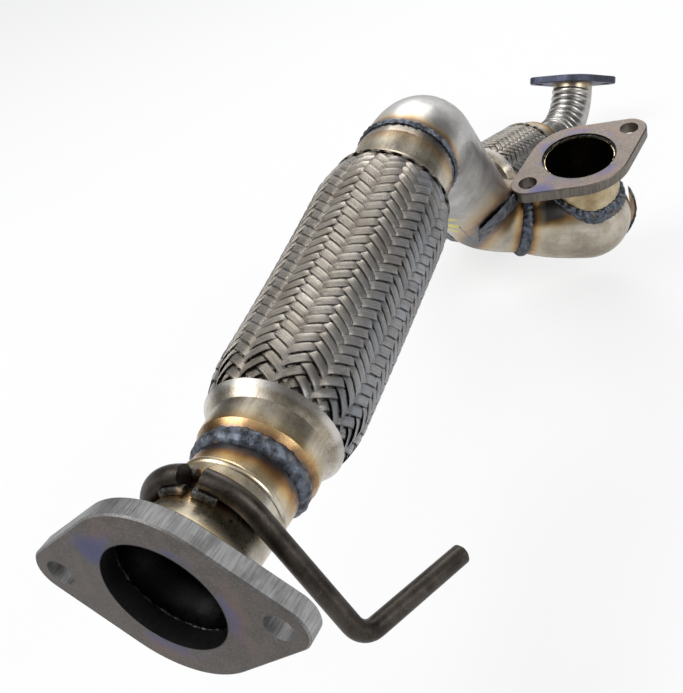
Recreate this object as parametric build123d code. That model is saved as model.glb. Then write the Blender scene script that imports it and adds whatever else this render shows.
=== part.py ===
"""Intermediate exhaust pipe of a V engine: two inlets, one outlet.

Three two-bolt flanges, two braided flex couplings, a mandrel-bent elbow, a stamped
collector under the front inlet, a wrinkle-bent pipe to the rear inlet and a hanger rod.
The origin is the centre of the outlet bore on the outlet flange's face. The outlet
faces -Y, its bolt line lies along X, and +Z is up. All sizes are in millimetres.
"""
from build123d import *
from math import atan, cos, pi, radians, sin, tan
import os

# Outlet flange
OUTLET_BORE_R = 30.0
OUTLET_PLATE = 10.3
OUTLET_BOLT_SPACING = 110.0
OUTLET_BOLT_HOLE_R = 7.0
OUTLET_BODY_R = 46.0
OUTLET_EAR_R = 13.5
PLATE_EDGE_BREAK = 0.8

# Outlet neck, from the outlet flange to the first flex coupling
PIPE_R = 26.0
SHEET = 1.8
NECK_MOUTH_R = 34.0
NECK_MOUTH_RIM = 2.0
NECK_DOME_LENGTH = 27.0
NECK_BEAD_AT = 55.0
NECK_BEAD_R = 1.0
NECK_STRAIGHT = 64.7
NECK_BEND_R = 60.0
NECK_BEND_ANGLE = 7.0
NECK_TOWARD = Vector(-0.88, 0.0, 0.94)
RING_WELD_LENGTH = 11.0
RING_WELD_RISE = 3.3
RING_WELD_SHIFT = 1.0
NECK_WELD_RISE = 2.2
WELD_ROOT = 1.0

# Main flex coupling
FLEX_RIM_R = 35.5
FLEX_CAP_SHEET = 1.5
FLEX_CAP_LENGTH = 27.5
FAR_CAP_LENGTH = 31.0
CAP_BARREL_R = 30.3
CAP_TAPER = 8.0
CAP_LIP = 6.5
FLEX_BEND_R = 688.0
FLEX_BEND_ANGLE = 9.46
FLEX_TOWARD = Vector(0.412, 0.0, 1.0)
FLEX_STRAIGHT = 38.4
BRAID_SWELL = 5.5
BRAID_SWELL_LENGTH = 26.0
BRAID_WALL = 1.3
BRAID_TUCK = 1.0
BRAID_GAPS_ROUND = 10
BRAID_GAP_ROWS = 8
BRAID_GAP_WIDTH = 6.0
BRAID_RIDGE = 0.7
BRAID_RIDGE_WIDTH = 4.6
BRAID_RIDGE_SHARE = 0.62
BRAID_RIDGE_INSIDE = 0.3
BELLOWS_SHEET = 0.8
BELLOWS_DEPTH = 5.0
BELLOWS_FOLD_PITCH = 18.0
CUFF_TUCK = 14.0
CUFF_RING = 3.0
BELLOWS_CUFF = 12.0
BELLOWS_GAP = 0.5
BELLOWS_LAND = 3.0
LINER_SHEET = 0.8
LINER_GAP = 1.0

# Main elbow, from the first flex coupling to the collector
ELBOW_R = 29.5
ELBOW_BEND_R = 44.3
ELBOW_BEND_ANGLE = 56.35
ELBOW_TOWARD = Vector(-0.188, 0.0, -1.0)
ELBOW_STRAIGHT = 172.6
ELBOW_WELD_RISE = 1.6
ELBOW_WELD_LENGTH = 5.0

# Collector elbow, from the main elbow to the inlet pot
HOOK_BEND_R = 44.0
HOOK_BEND_ANGLE = 70.35
HOOK_TOWARD = Vector(0.97, 0.23, 0.0)
HOOK_WELD_RISE = 3.0
HOOK_WELD_LENGTH = 10.0
JOINT_POINT = Vector(-49.3, 497.6, -113.1)
JOINT_NORMAL = Vector(0.672, -0.109, -0.718)
JOINT_WELD_WIDTH = 7.0
JOINT_WELD_RISE = 2.4
JOINT_WELD_END = Vector(-39.9, 445.8, -97.4)
JOINT_WELD_LINE = Vector(0.56, 0.71, 0.42)

# Inlet pot, the stamped collector under the front inlet flange
POT_R = 35.0
POT_REACH = 55.3
POT_SHEET = 2.0
POT_NECKDOWN = 45.0
SEAM_WIDTH = 3.5
SEAM_WELD = 1.6
SEAM_WELD_THICK = 6.0
POT_WELD = 3.5

# Front inlet flange and its neck
INLET_BORE_R = 28.5
INLET_NORMAL = Vector(0.026, -0.19, 0.981)
INLET_BOLT_LINE = Vector(0.66, 0.74, 0.13)
INLET_BOLT_SPACING = 95.0
INLET_BOLT_HOLE_R = 7.2
INLET_BODY_R = 40.0
INLET_EAR_R = 13.5
INLET_PLATE = 9.5
INLET_HEIGHT = 61.4
INLET_NECK_STEP = 2.5
NECK_FIT = 0.1
INLET_WELD_RISE = 1.5

# Rear branch, from the collector elbow to the second flex coupling
BRANCH_R = 25.0
BRANCH_BEND_R = 42.0
BRANCH_RUN = 45.0
BRANCH_BACK = 25.0
SADDLE_WELD = 4.0

# Rear flex coupling
REAR_RIM_CENTRE = Vector(-93.0, 605.0, -133.0)
REAR_FLEX_LENGTH = 78.0
REAR_CAP_LENGTH = 30.0
REAR_SWELL = 1.5
REAR_GAPS_ROUND = 10
REAR_GAP_ROWS = 3

# Wrinkle-bent pipe and rear inlet flange
WRINKLE_R = 20.0
WRINKLE_BEND_R = 58.0
WRINKLES = 8
WRINKLE_RISE = 1.8
WRINKLE_WIDTH = 6.5
REAR_FLANGE_FACE = Vector(-62.0, 805.0, -113.0)
REAR_NORMAL = Vector(-0.02, 0.48, 0.876)
REAR_BOLT_LINE = Vector(0.90, 0.37, -0.18)
REAR_TO_CORNER = 52.0
REAR_BOLT_SPACING = 68.0
REAR_BOLT_HOLE_R = 4.6
REAR_BODY_R = 29.0
REAR_EAR_R = 10.0
REAR_PLATE = 7.0

# Hanger rod
ROD_R = 5.0
ROD_STATION = 39.0
ROD_WRAP_START = 78.0
ROD_WRAP_END = 27.0
ROD_DROP = 64.3
ROD_BEND_R = 11.0
ROD_PIN = 59.5
ROD_TIP_BREAK = 1.0
ROD_PIN_DIRECTION = Vector(0.294, 0.945, -0.143)
SADDLE_START = 97.0
SADDLE_END = 215.0
ROD_WELD_R = 2.6
HANGER_WELD_SPANS = ((60.0, 84.0), (92.0, 122.0), (150.0, 200.0))

X_AXIS, Y_AXIS, Z_AXIS = Vector(1, 0, 0), Vector(0, 1, 0), Vector(0, 0, 1)
FULL_TURN = 360.0
HALF_TURN = 180.0


# Stations along the pipe. A station is a plane whose z axis is the pipe's direction.

def station_at(point, direction, across):
    """A station at a point, with its x axis as near to `across` as it can be."""
    direction = direction.normalized()
    across = (across - direction * across.dot(direction)).normalized()
    return Plane(origin=point, x_dir=across, z_dir=direction)


def further(station, length):
    """The station `length` further along a straight pipe."""
    return Plane(origin=station.origin + station.z_dir * length, x_dir=station.x_dir, z_dir=station.z_dir)


def bend_side(station, toward):
    """The unit vector square to the pipe that points to the inside of a bend."""
    return (toward - station.z_dir * toward.dot(station.z_dir)).normalized()


def bend_axis(station, radius, toward):
    """The axis that a bend turns about."""
    side = bend_side(station, toward)
    return Axis(station.origin + side * radius, station.z_dir.cross(side))


def turned_on(station, radius, angle, toward):
    """The station at the end of a bend."""
    side = bend_side(station, toward)
    square = station.z_dir.cross(side)
    turn = radians(angle)
    new_z = station.z_dir * cos(turn) + side * sin(turn)
    new_side = side * cos(turn) - station.z_dir * sin(turn)
    new_x = new_side * station.x_dir.dot(side) + square * station.x_dir.dot(square)
    return Plane(origin=station.origin + (side - new_side) * radius, x_dir=new_x, z_dir=new_z)


def reversed_station(station):
    """The same station seen from its other side."""
    return Plane(origin=station.origin, x_dir=station.x_dir, z_dir=station.z_dir * -1)


def angle_between(first, second):
    """The angle in degrees that a pipe turns by from one direction to another."""
    return first.get_angle(second)


# Forms that the pieces are made of

def ring(r_out, r_in):
    """A flat ring, or a disc where the inner radius is none."""
    return Circle(r_out) - Circle(r_in) if r_in else Circle(r_out)


def straight(station, length, r_out, r_in=0):
    """A straight tube or rod from a station on."""
    return extrude(station * ring(r_out, r_in), amount=length, dir=station.z_dir)


def bent(station, radius, angle, toward, r_out, r_in=0):
    """A bent tube or rod from a station on."""
    return revolve(station * ring(r_out, r_in), axis=bend_axis(station, radius, toward), revolution_arc=angle)


def turned(station, outline):
    """A solid of revolution about the pipe. Its outline has x = radius and y = distance along."""
    half = Plane(origin=station.origin, x_dir=station.x_dir, z_dir=station.y_dir * -1)
    return revolve(half * make_face(outline), axis=Axis(station.origin, station.z_dir), revolution_arc=FULL_TURN)


def weld_bead(station, r_pipe, length, rise, root=0.0):
    """A crowned ring of weld round a pipe, centred on the station."""
    half, r_root = length / 2, r_pipe - root
    crown = ThreePointArc((r_root, -half), (r_pipe + rise, 0), (r_root, half))
    return turned(station, crown + Line((r_root, half), (r_root, -half)))


def two_bolt_plate(station, spacing, body_r, ear_r, hole_r, bore_r, plate):
    """A two-bolt flange whose face is at the station and whose plate runs along its z axis."""
    ears = [Pos(side * spacing / 2, 0) * Circle(ear_r) for side in (-1, 1)]
    body = Circle(body_r)
    outline = make_hull(body.edges() + ears[0].edges() + ears[1].edges())
    blank = extrude(outline, amount=plate)
    rims = blank.edges().filter_by_position(Axis.Z, -0.01, 0.01) + blank.edges().filter_by_position(
        Axis.Z, plate - 0.01, plate + 0.01)
    blank = chamfer(rims, PLATE_EDGE_BREAK)
    blank -= extrude(Circle(bore_r), amount=plate)
    for side in (-1, 1):
        blank -= extrude(Pos(side * spacing / 2, 0) * Circle(hole_r), amount=plate)
    return station * blank


# Flex couplings

class Coupling:
    """The route of a flex coupling, from one rim to the other: straight, a gentle bend, straight."""

    def __init__(self, rim, bend_r, bend_angle, toward, straight_length, swell):
        self.rim, self.bend_r, self.bend_angle, self.toward = rim, bend_r, bend_angle, toward
        self.swell = swell
        self.lead = BRAID_SWELL_LENGTH
        self.bend_length = radians(bend_angle) * bend_r
        self.straight_length = straight_length
        self.length = self.lead + self.bend_length + straight_length

    def at(self, distance):
        """The station at a distance from the first rim."""
        if distance <= self.lead:
            return further(self.rim, distance)
        start = further(self.rim, self.lead)
        turned_length = min(distance - self.lead, self.bend_length)
        past_bend = distance - self.lead - turned_length
        if self.bend_length:
            start = turned_on(start, self.bend_r, turned_length / self.bend_r * HALF_TURN / pi, self.toward)
        return further(start, past_bend)

    def tube(self, start, end, r_out, r_in):
        """A tube of one radius along the route, from before the bend to after it."""
        before = straight(self.at(start), self.lead - start, r_out, r_in) if start < self.lead else None
        after_at = self.lead + self.bend_length
        pieces = [before] if before else []
        if self.bend_length:
            pieces.append(bent(self.at(self.lead), self.bend_r, self.bend_angle, self.toward, r_out, r_in))
        pieces.append(straight(self.at(after_at), end - after_at, r_out, r_in))
        return pieces[0] + pieces[1:] if pieces[1:] else pieces[0]

    def far_rim(self):
        return self.at(self.length)


def braid_radius(coupling, distance, rim_r):
    """The braid's outer radius and slope: it leaves each rim and swells out to its full girth."""
    from_rim = min(distance, coupling.length - distance)
    share = max(0.0, min(1.0, from_rim / BRAID_SWELL_LENGTH))
    slope = coupling.swell * pi / 2 / BRAID_SWELL_LENGTH * cos(share * pi / 2)
    if distance > coupling.length / 2:
        slope = -slope
    return rim_r - FLEX_CAP_SHEET + coupling.swell * sin(share * pi / 2), slope


def on_braid(coupling, distance, turn, rim_r):
    """A place on the braid: x back along the coupling, y round it, z out of its surface."""
    radius, slope = braid_radius(coupling, distance, rim_r)
    tilt = atan(slope) * HALF_TURN / pi
    return coupling.at(distance) * Rot(0, 0, turn) * Pos(radius, 0, 0) * Rot(0, 90, 0) * Rot(0, tilt, 0)


def braid_end(rim, rim_r, swell):
    """The braid's swelling end, with its tuck inside the cap's lip. The station's z runs into the braid."""
    mouth, full = rim_r - FLEX_CAP_SHEET, rim_r - FLEX_CAP_SHEET + swell
    lean = 2 * swell / BRAID_SWELL_LENGTH
    outer = Spline((mouth, 0), (full, BRAID_SWELL_LENGTH), tangents=[(lean, 1), (0, 1)])
    inner = Spline((full - BRAID_WALL, BRAID_SWELL_LENGTH), (mouth - BRAID_WALL, 0), tangents=[(0, -1), (-lean, -1)])
    outline = (Line((mouth, -BRAID_TUCK), (mouth, 0)) + outer
               + Line((full, BRAID_SWELL_LENGTH), (full - BRAID_WALL, BRAID_SWELL_LENGTH)) + inner
               + Polyline((mouth - BRAID_WALL, 0), (mouth - BRAID_WALL, -BRAID_TUCK), (mouth, -BRAID_TUCK)))
    return turned(rim, outline)


def braid(coupling, rim_r, gaps_round, gap_rows):
    """One woven wall: a swelling sleeve with short crossing ridges and a gap at each crossing."""
    full = rim_r - FLEX_CAP_SHEET + coupling.swell
    wall = coupling.tube(BRAID_SWELL_LENGTH, coupling.length - BRAID_SWELL_LENGTH, full, full - BRAID_WALL)
    wall += [braid_end(rim, rim_r, coupling.swell) for rim in (coupling.rim, reversed_station(coupling.far_rim()))]
    pitch = coupling.length / gap_rows
    spacing = FULL_TURN / gaps_round
    ridge_height = BRAID_RIDGE + BRAID_WALL + BRAID_RIDGE_INSIDE
    ridge_length = BRAID_RIDGE_SHARE * 2 * pi * full / gaps_round
    for row in range(gap_rows):
        gaps, ridges = [], []
        distance = (row + 0.5) * pitch
        offset_turn = spacing / 2 * (row % 2)
        lean = 45 if row % 2 else -45
        for place in range(gaps_round):
            turn = place * spacing + offset_turn
            crossing = on_braid(coupling, distance, turn, rim_r)
            gaps.append(crossing * Rot(0, 0, 45) * Box(BRAID_GAP_WIDTH, BRAID_GAP_WIDTH, 6 * BRAID_WALL))
            between = on_braid(coupling, distance, turn + spacing / 2, rim_r)
            ridges.append(between * Rot(0, 0, lean) * Pos(0, 0, BRAID_RIDGE - ridge_height / 2)
                          * Box(ridge_length, BRAID_RIDGE_WIDTH, ridge_height))
        wall = wall + ridges - gaps
    return wall


def bellows(coupling, r_out):
    """The gas-tight bellows inside the braid: a thin tube with hollow folds and a seat ring at each end."""
    root = r_out - BELLOWS_DEPTH
    inside = root - BELLOWS_SHEET
    start, end = BELLOWS_CUFF, coupling.length - BELLOWS_CUFF
    count = round((end - start) / BELLOWS_FOLD_PITCH)
    pitch = (end - start) / count
    half = (pitch - BELLOWS_LAND) / 2
    crest = Polyline((inside, -half), (r_out, 0), (inside, half), close=True)
    hollow = Polyline((inside - BELLOWS_SHEET, -half), (r_out - BELLOWS_SHEET, 0), (inside - BELLOWS_SHEET, half),
                      close=True)
    middles = [coupling.at(start + (fold + 0.5) * pitch) for fold in range(count)]
    tube = coupling.tube(-CUFF_TUCK, coupling.length + CUFF_TUCK, root, inside)
    seats = [straight(further(station, -CUFF_TUCK), CUFF_RING, CAP_BARREL_R - FLEX_CAP_SHEET, inside)
             for station in (coupling.rim, reversed_station(coupling.far_rim()))]
    return tube + seats + [turned(middle, crest) for middle in middles] - [
        turned(middle, hollow) for middle in middles]


def liner(coupling, r_out):
    """The flow liner inside the bellows, with a ring at each end that seats in the bellows' cuff."""
    tube = coupling.tube(-CUFF_TUCK, coupling.length + CUFF_TUCK, r_out, r_out - LINER_SHEET)
    rings = [straight(further(station, -CUFF_TUCK), CUFF_RING, r_out + LINER_GAP, r_out - LINER_SHEET)
             for station in (coupling.rim, reversed_station(coupling.far_rim()))]
    return tube + rings


def flex_cap(rim, pipe_r, rim_r, length):
    """A coupling's end cap: a cup whose rounded lip grips the braid. The station is at its rim."""
    sheet = FLEX_CAP_SHEET
    base_in, barrel_in, lip_in = pipe_r - SHEET, CAP_BARREL_R - sheet, rim_r - sheet
    flare = rim_r - CAP_BARREL_R
    lip = ThreePointArc((CAP_BARREL_R, -CAP_LIP), (rim_r - 0.55 * flare, -0.5 * CAP_LIP), (rim_r, 0))
    outer = Polyline((pipe_r, -length), (CAP_BARREL_R, CAP_TAPER - length), (CAP_BARREL_R, -CAP_LIP))
    inner = Polyline((rim_r, 0), (lip_in, 0), (lip_in, -BRAID_TUCK), (barrel_in, -CAP_LIP - sheet / 2),
                     (barrel_in, CAP_TAPER - length), (base_in, -length), (pipe_r, -length))
    return turned(rim, outer + lip + inner)


def cap_core(rim, pipe_r, length):
    """The space that an end cap fills up to its lip, as a solid."""
    outline = Polyline((0, -length), (pipe_r, -length), (CAP_BARREL_R, CAP_TAPER - length),
                       (CAP_BARREL_R, -CAP_LIP), (0, -CAP_LIP), close=True)
    return turned(rim, outline)


def outlet_neck(outlet_face):
    """The domed neck: a wide mouth on the flange, drawn down to the pipe, with a rolled bead."""
    mouth, end = OUTLET_PLATE, NECK_STRAIGHT
    dome_end = mouth + NECK_DOME_LENGTH
    dome = Spline((NECK_MOUTH_R, mouth + NECK_MOUTH_RIM), (PIPE_R, dome_end), tangents=[(-0.15, 1), (0, 1)])
    bead = ThreePointArc((PIPE_R, NECK_BEAD_AT - 2 * NECK_BEAD_R), (PIPE_R + NECK_BEAD_R, NECK_BEAD_AT),
                         (PIPE_R, NECK_BEAD_AT + 2 * NECK_BEAD_R))
    outer = (Line((NECK_MOUTH_R, mouth), dome @ 0) + dome + Line(dome @ 1, bead @ 0) + bead
             + Line(bead @ 1, (PIPE_R, end)))
    bore = Spline((PIPE_R - SHEET, dome_end), (NECK_MOUTH_R - SHEET, mouth + NECK_MOUTH_RIM),
                  tangents=[(0, -1), (0.15, -1)])
    inner = (Line((PIPE_R, end), (PIPE_R - SHEET, end)) + Line((PIPE_R - SHEET, end), bore @ 0) + bore
             + Polyline(bore @ 1, (NECK_MOUTH_R - SHEET, mouth), (NECK_MOUTH_R, mouth)))
    return turned(outlet_face, outer + inner)


def inner_weld(station, r_outer, size):
    """The bead inside a bore, in the corner between a shoulder at the station and the wall round it."""
    crown = ThreePointArc((r_outer - size, 0), (r_outer - 0.75 * size, 0.75 * size), (r_outer, size))
    return turned(station, crown + Polyline((r_outer, size), (r_outer, 0), (r_outer - size, 0)))


def hanger(outlet_face, neck):
    """The hanger rod, the short rod that closes the ring round the neck, and their welds."""
    ring_plane = further(outlet_face, ROD_STATION)
    seat_r = PIPE_R + ROD_R

    def on_ring(angle, radius):
        """A station on the ring, looking clockwise, with its bend side towards the neck's axis."""
        turn = radians(angle)
        out = X_AXIS * cos(turn) + Z_AXIS * sin(turn)
        return station_at(ring_plane.origin + out * radius, X_AXIS * sin(turn) - Z_AXIS * cos(turn), Y_AXIS), out * -1

    start, inward = on_ring(ROD_WRAP_START, seat_r)
    wrap_angle = ROD_WRAP_START - ROD_WRAP_END
    wrap = bent(start, seat_r, wrap_angle, inward, ROD_R)
    leaving = turned_on(start, seat_r, wrap_angle, inward)
    leg = straight(leaving, ROD_DROP, ROD_R)
    corner = further(leaving, ROD_DROP)
    corner_angle = angle_between(corner.z_dir, ROD_PIN_DIRECTION)
    elbow = bent(corner, ROD_BEND_R, corner_angle, ROD_PIN_DIRECTION, ROD_R)
    pin_start = turned_on(corner, ROD_BEND_R, corner_angle, ROD_PIN_DIRECTION)
    pin = straight(pin_start, ROD_PIN, ROD_R)
    tip = pin.edges().filter_by(GeomType.CIRCLE).sort_by(lambda edge: (edge.center() - pin_start.origin).length)[-1]
    pin = chamfer(tip, ROD_TIP_BREAK)
    rod = wrap + leg + elbow + pin

    saddle_start, saddle_inward = on_ring(SADDLE_END, seat_r)
    saddle = bent(saddle_start, seat_r, SADDLE_END - SADDLE_START, saddle_inward, ROD_R)

    beads = []
    for first, last in HANGER_WELD_SPANS:
        for side in (-1, 1):
            bead_start, bead_inward = on_ring(last, PIPE_R + ROD_WELD_R / 2)
            bead_start = Plane(origin=bead_start.origin + Y_AXIS * side * ROD_R, x_dir=bead_start.x_dir,
                               z_dir=bead_start.z_dir)
            beads.append(bent(bead_start, PIPE_R + ROD_WELD_R / 2, last - first, bead_inward, ROD_WELD_R))
    filled = extrude(further(outlet_face, OUTLET_PLATE) * Circle(PIPE_R), amount=NECK_STRAIGHT, dir=Y_AXIS)
    welds = Compound(children=[bead - rod - saddle - neck - filled for bead in beads])
    return {"hanger_rod": rod, "hanger_saddle": saddle, "hanger_welds": welds}, further(pin_start, ROD_PIN)


def bullet(mouth, r_mouth, inset=0.0):
    """The inlet pot's round-ended form, drawn in to the pipe at its mouth."""
    r_full = POT_R - inset
    r_mouth = r_mouth - inset
    shoulder = Spline((r_mouth, 0), (r_full, POT_NECKDOWN), tangents=[(0.3, 1), (0, 1)])
    end = ThreePointArc((r_full, POT_REACH), (r_full * sin(pi / 4), POT_REACH + r_full * cos(pi / 4)),
                        (0, POT_REACH + r_full))
    outline = (shoulder + Line((r_full, POT_NECKDOWN), (r_full, POT_REACH)) + end
               + Polyline((0, POT_REACH + r_full), (0, 0), (r_mouth, 0)))
    return turned(mouth, outline)


def seam_band(mouth, seam, inner, outer, half_thickness, side):
    """A flat band in the seam's plane that follows the pot's round end and its underside."""
    centre_line = POT_REACH
    band = Pos(centre_line, 0) * (Circle(POT_R + outer) - Circle(POT_R + inner))
    band = band & (Pos(centre_line + POT_R, 0) * Rectangle(2 * POT_R, 4 * POT_R))
    run = POT_REACH - POT_NECKDOWN
    floor = Pos(centre_line - run / 2, -POT_R - (inner + outer) / 2) * Rectangle(run, outer - inner)
    profile = band + floor
    shift = half_thickness / 2 * side
    plane = Plane(origin=mouth.origin + seam.z_dir * shift, x_dir=mouth.z_dir, z_dir=seam.z_dir)
    return extrude(plane * profile, amount=half_thickness / 2, both=True)


def main():
    parts = {}

    # The main line's stations, from the outlet face to the centre of the inlet pot
    outlet_face = station_at(Vector(0, 0, 0), Y_AXIS, X_AXIS)
    neck_bend = further(outlet_face, NECK_STRAIGHT)
    cap_start = turned_on(neck_bend, NECK_BEND_R, NECK_BEND_ANGLE, NECK_TOWARD)
    rim = further(cap_start, FLEX_CAP_LENGTH)
    flex = Coupling(rim, FLEX_BEND_R, FLEX_BEND_ANGLE, FLEX_TOWARD, FLEX_STRAIGHT, BRAID_SWELL)
    far_rim = flex.far_rim()
    elbow_start = further(far_rim, FAR_CAP_LENGTH)
    elbow_turned = turned_on(elbow_start, ELBOW_BEND_R, ELBOW_BEND_ANGLE, ELBOW_TOWARD)
    hook_start = further(elbow_turned, ELBOW_STRAIGHT)
    branch_joint = further(hook_start, -BRANCH_BACK)
    pot_mouth = turned_on(hook_start, HOOK_BEND_R, HOOK_BEND_ANGLE, HOOK_TOWARD)
    pot_centre = further(pot_mouth, POT_REACH).origin

    rear_rim = station_at(REAR_RIM_CENTRE, rear_corner() - REAR_RIM_CENTRE, X_AXIS)

    # Outlet flange, neck and hanger
    def neck_run(r_out, r_in=0):
        """The neck's bent end."""
        return bent(neck_bend, NECK_BEND_R, NECK_BEND_ANGLE, NECK_TOWARD, r_out, r_in)

    neck = outlet_neck(outlet_face) + neck_run(PIPE_R, PIPE_R - SHEET)
    parts["outlet_flange"] = two_bolt_plate(
        outlet_face, OUTLET_BOLT_SPACING, OUTLET_BODY_R, OUTLET_EAR_R, OUTLET_BOLT_HOLE_R,
        OUTLET_BORE_R, OUTLET_PLATE)
    parts["outlet_neck"] = neck
    parts["outlet_flange_weld"] = inner_weld(further(outlet_face, OUTLET_PLATE), NECK_MOUTH_R - SHEET,
                                             NECK_WELD_RISE) - neck
    parts["outlet_ring_weld"] = weld_bead(further(cap_start, RING_WELD_SHIFT), PIPE_R, RING_WELD_LENGTH, RING_WELD_RISE, WELD_ROOT)
    rods, pin_end = hanger(outlet_face, neck)
    parts.update(rods)

    # Main flex coupling
    bellows_r = FLEX_RIM_R - FLEX_CAP_SHEET - BRAID_WALL - BELLOWS_GAP
    outlet_cap = flex_cap(rim, PIPE_R, FLEX_RIM_R, FLEX_CAP_LENGTH)
    inlet_cap = flex_cap(reversed_station(far_rim), ELBOW_R, FLEX_RIM_R, FAR_CAP_LENGTH)
    parts["main_flex_outlet_cap"] = outlet_cap
    parts["main_flex_inlet_cap"] = inlet_cap
    parts["main_flex_braid"] = braid(flex, FLEX_RIM_R, BRAID_GAPS_ROUND, BRAID_GAP_ROWS)
    parts["main_flex_bellows"] = bellows(flex, bellows_r)
    parts["main_flex_liner"] = liner(flex, bellows_r - BELLOWS_DEPTH - BELLOWS_SHEET - LINER_GAP)
    parts["outlet_ring_weld"] -= [neck_run(PIPE_R), cap_core(rim, PIPE_R, FLEX_CAP_LENGTH)]

    # Main elbow, collector elbow and their joint
    elbow_in = ELBOW_R - SHEET

    def main_run(r_out, r_in=0):
        """The elbow and the collector elbow as one run of pipe."""
        return (bent(elbow_start, ELBOW_BEND_R, ELBOW_BEND_ANGLE, ELBOW_TOWARD, r_out, r_in)
                + straight(elbow_turned, ELBOW_STRAIGHT, r_out, r_in)
                + bent(hook_start, HOOK_BEND_R, HOOK_BEND_ANGLE, HOOK_TOWARD, r_out, r_in))

    joint = Plane(origin=JOINT_POINT, z_dir=JOINT_NORMAL)
    run = main_run(ELBOW_R, elbow_in)
    run_core = main_run(ELBOW_R)
    branch_core, branch_tube = rear_branch(branch_joint, rear_rim, BRANCH_R)
    parts["main_elbow_pipe"] = split(run, bisect_by=joint, keep=Keep.BOTTOM) - branch_core
    parts["collector_elbow"] = split(run, bisect_by=joint, keep=Keep.TOP)
    parts["elbow_ring_weld"] = (weld_bead(elbow_start, ELBOW_R, ELBOW_WELD_LENGTH, ELBOW_WELD_RISE)
                                - run_core - inlet_cap)
    seam_slab = extrude(joint * Rectangle(8 * ELBOW_R, 8 * ELBOW_R), amount=JOINT_WELD_WIDTH / 2, both=True)
    seam_bead = (main_run(ELBOW_R + JOINT_WELD_RISE) & seam_slab) - run_core
    weld_end = Plane(origin=JOINT_WELD_END, z_dir=JOINT_WELD_LINE)
    parts["collector_seam_weld"] = largest(split(seam_bead, bisect_by=weld_end, keep=Keep.TOP) - branch_core)

    # Rear branch pipe and its saddle weld
    parts["rear_branch_pipe"] = largest(branch_tube - run_core)
    grown_branch, _ = rear_branch(branch_joint, rear_rim, BRANCH_R + SADDLE_WELD)
    parts["rear_branch_saddle_weld"] = largest(
        (grown_branch & main_run(ELBOW_R + SADDLE_WELD)) - run_core - branch_core)

    # Inlet pot in two stamped halves, its seam and the ring weld at its mouth
    neck_out = INLET_BORE_R - NECK_FIT
    inlet_face = station_at(pot_centre + INLET_NORMAL.normalized() * INLET_HEIGHT, INLET_NORMAL * -1, INLET_BOLT_LINE)
    pot_core = bullet(pot_mouth, ELBOW_R)
    pot_space = bullet(pot_mouth, ELBOW_R, POT_SHEET)
    inlet_core = straight(inlet_face, INLET_HEIGHT, neck_out)
    seam = Plane(origin=pot_centre, x_dir=pot_mouth.z_dir, z_dir=INLET_NORMAL.cross(pot_mouth.z_dir))
    pot = pot_core - pot_space - inlet_core
    seam_stop = straight(inlet_face, INLET_HEIGHT, neck_out + 2 * POT_WELD)
    for name, side, keep in (("inlet_pot_rear_shell", 1, Keep.TOP), ("inlet_pot_front_shell", -1, Keep.BOTTOM)):
        lip = seam_band(pot_mouth, seam, -POT_SHEET / 2, SEAM_WIDTH, POT_SHEET, side)
        parts[name] = split(pot, bisect_by=seam, keep=keep) + (lip - pot_space - seam_stop)
    parts["inlet_pot_seam_weld"] = seam_band(pot_mouth, seam, SEAM_WIDTH, SEAM_WIDTH + SEAM_WELD, SEAM_WELD_THICK, 0) - seam_stop
    parts["collector_ring_weld"] = (weld_bead(pot_mouth, ELBOW_R, HOOK_WELD_LENGTH, HOOK_WELD_RISE)
                                    - run_core - pot_core - branch_core - parts["collector_seam_weld"])
    parts["rear_branch_saddle_weld"] = largest(parts["rear_branch_saddle_weld"] - parts["collector_seam_weld"] - parts["collector_ring_weld"])

    # Front inlet neck and flange
    parts["inlet_neck"] = straight(further(inlet_face, INLET_NECK_STEP), INLET_HEIGHT, neck_out,
                                   neck_out - SHEET) - pot_space
    parts["inlet_neck_weld"] = largest(
        (straight(further(inlet_face, INLET_PLATE), INLET_HEIGHT - INLET_PLATE, neck_out + POT_WELD) & bullet(pot_mouth, ELBOW_R, -POT_WELD))
        - pot_core - inlet_core - parts["inlet_pot_rear_shell"] - parts["inlet_pot_front_shell"])
    parts["inlet_flange"] = two_bolt_plate(
        inlet_face, INLET_BOLT_SPACING, INLET_BODY_R, INLET_EAR_R, INLET_BOLT_HOLE_R, INLET_BORE_R, INLET_PLATE)
    parts["collector_seam_weld"] = largest(parts["collector_seam_weld"] - parts["inlet_flange"])
    parts["collector_ring_weld"] = largest(
        parts["collector_ring_weld"] - parts["inlet_pot_rear_shell"] - parts["inlet_pot_front_shell"]
        - parts["inlet_flange"])
    parts["inlet_flange_weld"] = inner_weld(reversed_station(further(inlet_face, INLET_NECK_STEP)), INLET_BORE_R,
                                            INLET_WELD_RISE)

    # Rear flex coupling
    rear_flex = Coupling(rear_rim, 0.0, 0.0, Z_AXIS, REAR_FLEX_LENGTH - BRAID_SWELL_LENGTH, REAR_SWELL)
    rear_far = rear_flex.far_rim()
    parts["rear_flex_front_cap"] = flex_cap(rear_rim, BRANCH_R, FLEX_RIM_R, REAR_CAP_LENGTH)
    parts["rear_flex_rear_cap"] = flex_cap(reversed_station(rear_far), WRINKLE_R, FLEX_RIM_R, REAR_CAP_LENGTH)
    parts["rear_flex_braid"] = braid(rear_flex, FLEX_RIM_R, REAR_GAPS_ROUND, REAR_GAP_ROWS)
    parts["rear_flex_bellows"] = bellows(rear_flex, bellows_r)
    parts["rear_flex_liner"] = liner(rear_flex, bellows_r - BELLOWS_DEPTH - BELLOWS_SHEET - LINER_GAP)
    branch_end = further(rear_rim, -REAR_CAP_LENGTH)
    parts["rear_branch_ring_weld"] = largest(
        weld_bead(branch_end, BRANCH_R, RING_WELD_LENGTH, ELBOW_WELD_RISE) - branch_core
        - parts["rear_flex_front_cap"])

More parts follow.
